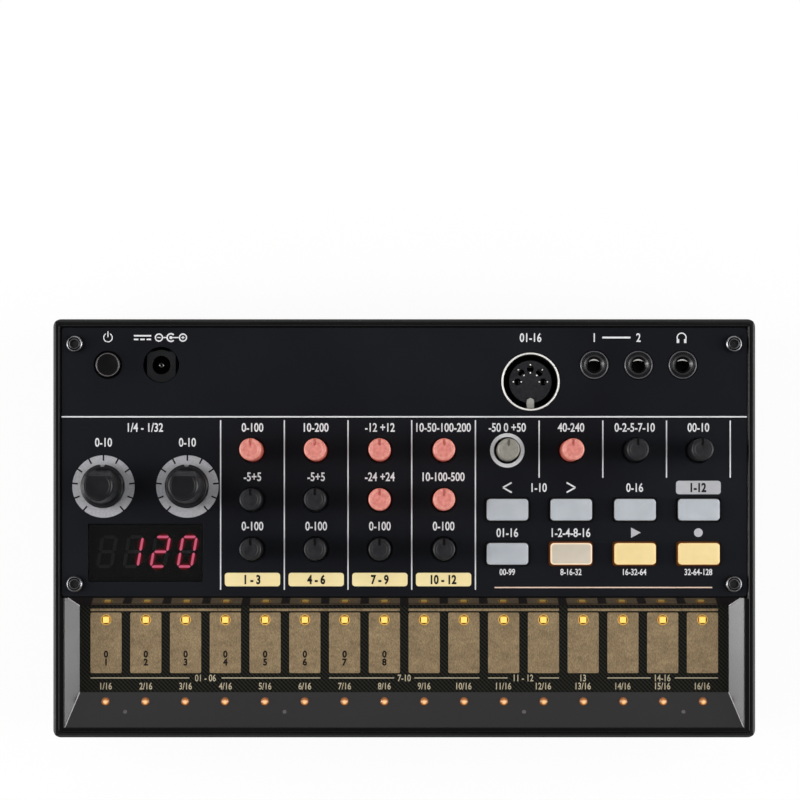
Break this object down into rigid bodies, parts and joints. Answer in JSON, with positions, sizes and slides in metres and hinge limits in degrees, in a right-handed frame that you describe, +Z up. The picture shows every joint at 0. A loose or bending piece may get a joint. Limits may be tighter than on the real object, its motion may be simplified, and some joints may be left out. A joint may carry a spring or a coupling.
{
  "type": "analog synthesizer",
  "caption": "Desktop analog drum synthesizer: a shallow black box with turning knobs, push buttons, rear sockets, a digit display and a recessed strip of touch pads.",
  "frame": {"origin": "on the table under the middle of the case", "axes": "+X to the right as the player sees it, +Y to the rear edge with the sockets, +Z up"},
  "size_m": [0.193, 0.115, 0.045],
  "materials": {
    "case_black": "fine moulded texture",
    "frame_black": "glossy moulded plastic",
    "panel_black": "satin printed panel",
    "touch_black": "solder mask over a fine weave",
    "pad_gold": "brushed, slightly dull",
    "amber_light": "lit light chip",
    "amber_lens": "clear amber lens",
    "window_smoke": "smoked clear plastic",
    "digit_grey": "moulded digit block",
    "board_green": "solder mask",
    "link_grey": "plain moulded and flat cable",
    "pot_blue": "plain moulded",
    "red_chip": "lit light chip",
    "switch_grey": "plain moulded",
    "socket_metal": "bright plated",
    "socket_black": "black moulded",
    "contact_metal": "bright plated",
    "screw_black": "black oxide",
    "screw_steel": "plain steel",
    "foot_rubber": "matt rubber",
    "basket_grey": "pressed and painted",
    "cone_paper": "pressed paper",
    "magnet_iron": "ferrite and plate",
    "cell_wrap": "plain wrapper",
    "power_black": "black moulded",
    "knob_black": "fine moulded texture",
    "knob_pink": "clear plastic lit from below",
    "knob_smoke": "clear plastic, unlit",
    "button_pale": "milky clear plastic",
    "button_smoke": "milky clear plastic",
    "button_yellow": "milky plastic lit from below"
  },
  "bodies": {
    "case": {"bottom_case": "case_black", "top_frame": "frame_black", "control_panel": "panel_black", "touch_plate": "touch_black", "step_pads": "pad_gold", "step_leds": "amber_light", "bevel_lenses": "amber_lens", "display_window": "window_smoke", "display_module": "digit_grey", "main_board": "board_green", "jack_board": "board_green", "board_links": "link_grey", "pot_bodies": "pot_blue", "knob_leds": "red_chip", "button_switches": "switch_grey", "din_shell": "socket_metal", "din_insert": "socket_black", "din_contacts": "contact_metal", "phone_jacks": "socket_black", "dc_socket": "socket_black", "dc_pin": "contact_metal", "panel_screws": "screw_black", "case_screws": "screw_black", "board_screws": "screw_steel", "rubber_feet": "foot_rubber", "speaker_basket": "basket_grey", "speaker_cone": "cone_paper", "speaker_magnet": "magnet_iron", "battery_cells": "cell_wrap", "battery_contacts": "contact_metal"},
    "kick_click_knob": {"kick_click_knob": "knob_pink"},
    "kick_pitch_knob": {"kick_pitch_knob": "knob_black"},
    "kick_decay_knob": {"kick_decay_knob": "knob_black"},
    "snare_snap_knob": {"snare_snap_knob": "knob_pink"},
    "snare_pitch_knob": {"snare_pitch_knob": "knob_black"},
    "snare_decay_knob": {"snare_decay_knob": "knob_black"},
    "tom_high_knob": {"tom_high_knob": "knob_pink"},
    "tom_low_knob": {"tom_low_knob": "knob_pink"},
    "tom_decay_knob": {"tom_decay_knob": "knob_black"},
    "hat_closed_knob": {"hat_closed_knob": "knob_pink"},
    "hat_open_knob": {"hat_open_knob": "knob_pink"},
    "hat_grain_knob": {"hat_grain_knob": "knob_black"},
    "speed_knob": {"speed_knob": "knob_smoke"},
    "tempo_knob": {"tempo_knob": "knob_pink"},
    "level_knob": {"level_knob": "knob_black"},
    "volume_knob": {"volume_knob": "knob_black"},
    "part_down_button": {"part_down_button": "button_pale"},
    "part_up_button": {"part_up_button": "button_pale"},
    "mute_button": {"mute_button": "button_pale"},
    "function_button": {"function_button": "button_pale"},
    "memory_button": {"memory_button": "button_pale"},
    "step_button": {"step_button": "button_smoke"},
    "play_button": {"play_button": "button_yellow"},
    "record_button": {"record_button": "button_yellow"},
    "power_button": {"power_button": "power_black"},
    "battery_door": {"battery_door": "case_black"},
    "stutter_time_dial": {"stutter_time_dial": "knob_black", "stutter_time_shaft": "screw_steel"},
    "stutter_depth_dial": {"stutter_depth_dial": "knob_black", "stutter_depth_shaft": "screw_steel"}
  },
  "joints": [
    {"name": "kick_click_turn", "type": "hinge", "parent": "case", "child": "kick_click_knob", "pos_m": [-0.0417, 0.0214, 0.0316], "axis": [0, 0, 1], "range_deg": [-140, 140]},
    {"name": "kick_pitch_turn", "type": "hinge", "parent": "case", "child": "kick_pitch_knob", "pos_m": [-0.0417, 0.00785, 0.0316], "axis": [0, 0, 1], "range_deg": [-140, 140]},
    {"name": "kick_decay_turn", "type": "hinge", "parent": "case", "child": "kick_decay_knob", "pos_m": [-0.0417, -0.0057, 0.0316], "axis": [0, 0, 1], "range_deg": [-140, 140]},
    {"name": "snare_snap_turn", "type": "hinge", "parent": "case", "child": "snare_snap_knob", "pos_m": [-0.0242, 0.0214, 0.0316], "axis": [0, 0, 1], "range_deg": [-140, 140]},
    {"name": "snare_pitch_turn", "type": "hinge", "parent": "case", "child": "snare_pitch_knob", "pos_m": [-0.0242, 0.00785, 0.0316], "axis": [0, 0, 1], "range_deg": [-140, 140]},
    {"name": "snare_decay_turn", "type": "hinge", "parent": "case", "child": "snare_decay_knob", "pos_m": [-0.0242, -0.0057, 0.0316], "axis": [0, 0, 1], "range_deg": [-140, 140]},
    {"name": "tom_high_turn", "type": "hinge", "parent": "case", "child": "tom_high_knob", "pos_m": [-0.0067, 0.0214, 0.0316], "axis": [0, 0, 1], "range_deg": [-140, 140]},
    {"name": "tom_low_turn", "type": "hinge", "parent": "case", "child": "tom_low_knob", "pos_m": [-0.0067, 0.00785, 0.0316], "axis": [0, 0, 1], "range_deg": [-140, 140]},
    {"name": "tom_decay_turn", "type": "hinge", "parent": "case", "child": "tom_decay_knob", "pos_m": [-0.0067, -0.0057, 0.0316], "axis": [0, 0, 1], "range_deg": [-140, 140]},
    {"name": "hat_closed_turn", "type": "hinge", "parent": "case", "child": "hat_closed_knob", "pos_m": [0.0108, 0.0214, 0.0316], "axis": [0, 0, 1], "range_deg": [-140, 140]},
    {"name": "hat_open_turn", "type": "hinge", "parent": "case", "child": "hat_open_knob", "pos_m": [0.0108, 0.00785, 0.0316], "axis": [0, 0, 1], "range_deg": [-140, 140]},
    {"name": "hat_grain_turn", "type": "hinge", "parent": "case", "child": "hat_grain_knob", "pos_m": [0.0108, -0.0057, 0.0316], "axis": [0, 0, 1], "range_deg": [-140, 140]},
    {"name": "speed_turn", "type": "hinge", "parent": "case", "child": "speed_knob", "pos_m": [0.0283, 0.0214, 0.0316], "axis": [0, 0, 1], "range_deg": [-140, 140]},
    {"name": "tempo_turn", "type": "hinge", "parent": "case", "child": "tempo_knob", "pos_m": [0.0458, 0.0214, 0.0316], "axis": [0, 0, 1], "range_deg": [-140, 140]},
    {"name": "level_turn", "type": "hinge", "parent": "case", "child": "level_knob", "pos_m": [0.0633, 0.0214, 0.0316], "axis": [0, 0, 1], "range_deg": [-140, 140]},
    {"name": "volume_turn", "type": "hinge", "parent": "case", "child": "volume_knob", "pos_m": [0.0808, 0.0214, 0.0316], "axis": [0, 0, 1], "range_deg": [-140, 140]},
    {"name": "stutter_time_turn", "type": "hinge", "parent": "case", "child": "stutter_time_dial", "pos_m": [-0.08263, 0.0115, 0.0316], "axis": [0, 0, 1], "range_deg": [-140, 140]},
    {"name": "stutter_depth_turn", "type": "hinge", "parent": "case", "child": "stutter_depth_dial", "pos_m": [-0.05958, 0.0115, 0.0316], "axis": [0, 0, 1], "range_deg": [-140, 140]},
    {"name": "part_down_press", "type": "slide", "parent": "case", "child": "part_down_button", "axis": [0, 0, -1], "range_m": [0, 0.0008], "stiffness_N_per_m": 700, "springref_m": -0.0008},
    {"name": "part_up_press", "type": "slide", "parent": "case", "child": "part_up_button", "axis": [0, 0, -1], "range_m": [0, 0.0008], "stiffness_N_per_m": 700, "springref_m": -0.0008},
    {"name": "mute_press", "type": "slide", "parent": "case", "child": "mute_button", "axis": [0, 0, -1], "range_m": [0, 0.0008], "stiffness_N_per_m": 700, "springref_m": -0.0008},
    {"name": "function_press", "type": "slide", "parent": "case", "child": "function_button", "axis": [0, 0, -1], "range_m": [0, 0.0008], "stiffness_N_per_m": 700, "springref_m": -0.0008},
    {"name": "memory_press", "type": "slide", "parent": "case", "child": "memory_button", "axis": [0, 0, -1], "range_m": [0, 0.0008], "stiffness_N_per_m": 700, "springref_m": -0.0008},
    {"name": "step_press", "type": "slide", "parent": "case", "child": "step_button", "axis": [0, 0, -1], "range_m": [0, 0.0008], "stiffness_N_per_m": 700, "springref_m": -0.0008},
    {"name": "play_press", "type": "slide", "parent": "case", "child": "play_button", "axis": [0, 0, -1], "range_m": [0, 0.0008], "stiffness_N_per_m": 700, "springref_m": -0.0008},
    {"name": "record_press", "type": "slide", "parent": "case", "child": "record_button", "axis": [0, 0, -1], "range_m": [0, 0.0008], "stiffness_N_per_m": 700, "springref_m": -0.0008},
    {"name": "power_press", "type": "slide", "parent": "case", "child": "power_button", "axis": [0, 0, -1], "range_m": [0, 0.0008], "stiffness_N_per_m": 700, "springref_m": -0.0008},
    {"name": "battery_door_slide", "type": "slide", "parent": "case", "child": "battery_door", "axis": [0, 1, 0], "range_m": [0, 0.006]}
  ]
}
